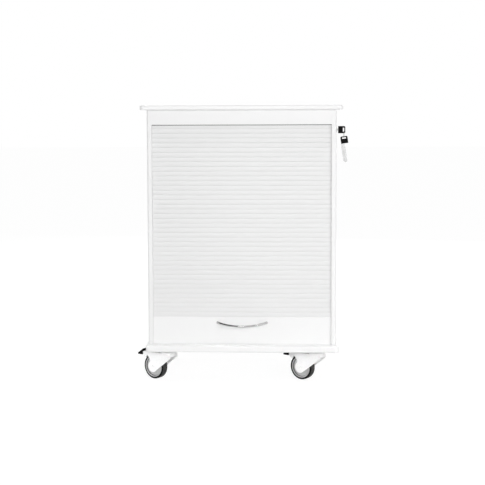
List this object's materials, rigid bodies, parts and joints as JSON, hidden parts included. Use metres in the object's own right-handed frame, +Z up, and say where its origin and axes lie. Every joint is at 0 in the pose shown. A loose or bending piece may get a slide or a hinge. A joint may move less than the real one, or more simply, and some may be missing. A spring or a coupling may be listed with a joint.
{
  "type": "mobile roller-shutter cabinet",
  "caption": "Upright mobile cabinet with a flat overhanging top, a vertical slatted roller shutter with a bow handle, a side lock with keys, inner shelves and braked swivel castors.",
  "frame": {"origin": "on the floor, under the middle of the base panel", "axes": "+Z up, +X to the right as seen from the front, and the front faces -Y"},
  "size_m": [0.8425, 0.5002, 1.09],
  "materials": {
    "white_board": "satin melamine",
    "white_edging": "satin",
    "white_slats": "satin",
    "canvas": "woven",
    "track_plastic": "matte",
    "beech": "plain",
    "zinc": "satin",
    "chrome": "polished",
    "key_steel": "satin",
    "black_plastic": "matte",
    "black_rubber": "matte",
    "white_metal": "gloss",
    "grey_plastic": "matte",
    "tyre_rubber": "matte"
  },
  "bodies": {
    "cabinet": {"top_panel": "white_board", "top_edge_band": "white_edging", "base_panel": "white_board", "base_edge_band": "white_edging", "side_panel_left": "white_board", "side_panel_right": "white_board", "back_panel": "white_board", "header_panel": "white_board", "inner_liner": "white_board", "shelf_lower": "white_board", "shelf_upper": "white_board", "shelf_pins": "zinc", "dowels": "beech", "cam_fittings": "zinc", "track_left": "track_plastic", "track_right": "track_plastic", "shutter_stops": "black_rubber", "closing_buffers": "black_rubber", "lock_housing": "chrome", "lock_nut": "zinc", "castor_plates": "zinc", "castor_screws": "zinc", "castor_kingpins": "zinc"},
    "shutter": {"shutter_rail": "white_board", "slats_lower": "white_slats", "slats_middle": "white_slats", "slats_upper": "white_slats", "curtain_backing": "canvas", "rail_glides": "track_plastic", "handle": "chrome", "handle_screws": "zinc"},
    "lock_plug": {"lock_core": "chrome", "lock_cam": "zinc", "key_blade": "key_steel", "key_bow": "black_plastic"},
    "ring": {"key_ring": "chrome"},
    "spare_key": {"spare_key_blade": "key_steel", "spare_key_bow": "black_plastic"},
    "castor_front_left": {"castor_fork_front_left": "white_metal", "castor_axle_front_left": "zinc"},
    "wheel_front_left": {"wheel_core_front_left": "grey_plastic", "tyre_front_left": "tyre_rubber"},
    "brake_front_left": {"brake_lever_front_left": "white_metal", "brake_pad_front_left": "black_plastic"},
    "castor_front_right": {"castor_fork_front_right": "white_metal", "castor_axle_front_right": "zinc"},
    "wheel_front_right": {"wheel_core_front_right": "grey_plastic", "tyre_front_right": "tyre_rubber"},
    "brake_front_right": {"brake_lever_front_right": "white_metal", "brake_pad_front_right": "black_plastic"},
    "castor_rear_left": {"castor_fork_rear_left": "white_metal", "castor_axle_rear_left": "zinc"},
    "wheel_rear_left": {"wheel_core_rear_left": "grey_plastic", "tyre_rear_left": "tyre_rubber"},
    "castor_rear_right": {"castor_fork_rear_right": "white_metal", "castor_axle_rear_right": "zinc"},
    "wheel_rear_right": {"wheel_core_rear_right": "grey_plastic", "tyre_rear_right": "tyre_rubber"}
  },
  "joints": [
    {"name": "shutter_lift", "type": "slide", "parent": "cabinet", "child": "shutter", "axis": [0, 0, 1], "range_m": [0, 0.7473], "deforming": ["slats_lower", "slats_middle", "slats_upper", "curtain_backing"]},
    {"name": "key_turn", "type": "hinge", "parent": "cabinet", "child": "lock_plug", "pos_m": [0.367, -0.17, 0.994], "axis": [1, 0, 0], "range_deg": [0, 90]},
    {"name": "ring_swing", "type": "hinge", "parent": "lock_plug", "child": "ring", "pos_m": [0.3973, -0.17, 0.98325], "axis": [1, 0, 0], "range_deg": [-45, 0]},
    {"name": "spare_key_swing", "type": "hinge", "parent": "ring", "child": "spare_key", "pos_m": [0.3973, -0.17, 0.9664], "axis": [1, 0, 0], "range_deg": [-45, 0]},
    {"name": "swivel_front_left", "type": "hinge", "parent": "cabinet", "child": "castor_front_left", "pos_m": [-0.294, -0.172, 0.1185], "axis": [0, 0, 1], "continuous": true},
    {"name": "roll_front_left", "type": "hinge", "parent": "castor_front_left", "child": "wheel_front_left", "pos_m": [-0.3497, -0.133, 0.05], "axis": [-0.5736, -0.8192, 0], "continuous": true},
    {"name": "brake_front_left", "type": "hinge", "parent": "castor_front_left", "child": "brake_front_left", "pos_m": [-0.38247, -0.11005, 0.101], "axis": [0.5736, 0.8192, 0], "range_deg": [0, 20]},
    {"name": "swivel_front_right", "type": "hinge", "parent": "cabinet", "child": "castor_front_right", "pos_m": [0.294, -0.172, 0.1185], "axis": [0, 0, 1], "continuous": true},
    {"name": "roll_front_right", "type": "hinge", "parent": "castor_front_right", "child": "wheel_front_right", "pos_m": [0.2383, -0.133, 0.05], "axis": [-0.5736, -0.8192, 0], "continuous": true},
    {"name": "brake_front_right", "type": "hinge", "parent": "castor_front_right", "child": "brake_front_right", "pos_m": [0.20553, -0.11005, 0.101], "axis": [0.5736, 0.8192, 0], "range_deg": [0, 20]},
    {"name": "swivel_rear_left", "type": "hinge", "parent": "cabinet", "child": "castor_rear_left", "pos_m": [-0.294, 0.17, 0.1185], "axis": [0, 0, 1], "continuous": true},
    {"name": "roll_rear_left", "type": "hinge", "parent": "castor_rear_left", "child": "wheel_rear_left", "pos_m": [-0.3497, 0.209, 0.05], "axis": [-0.5736, -0.8192, 0], "continuous": true},
    {"name": "swivel_rear_right", "type": "hinge", "parent": "cabinet", "child": "castor_rear_right", "pos_m": [0.294, 0.17, 0.1185], "axis": [0, 0, 1], "continuous": true},
    {"name": "roll_rear_right", "type": "hinge", "parent": "castor_rear_right", "child": "wheel_rear_right", "pos_m": [0.2383, 0.209, 0.05], "axis": [-0.5736, -0.8192, 0], "continuous": true}
  ],
  "couplings": [
    {"joint": "ring_swing", "follows": "key_turn", "ratio": -0.5},
    {"joint": "spare_key_swing", "follows": "key_turn", "ratio": -0.5}
  ]
}
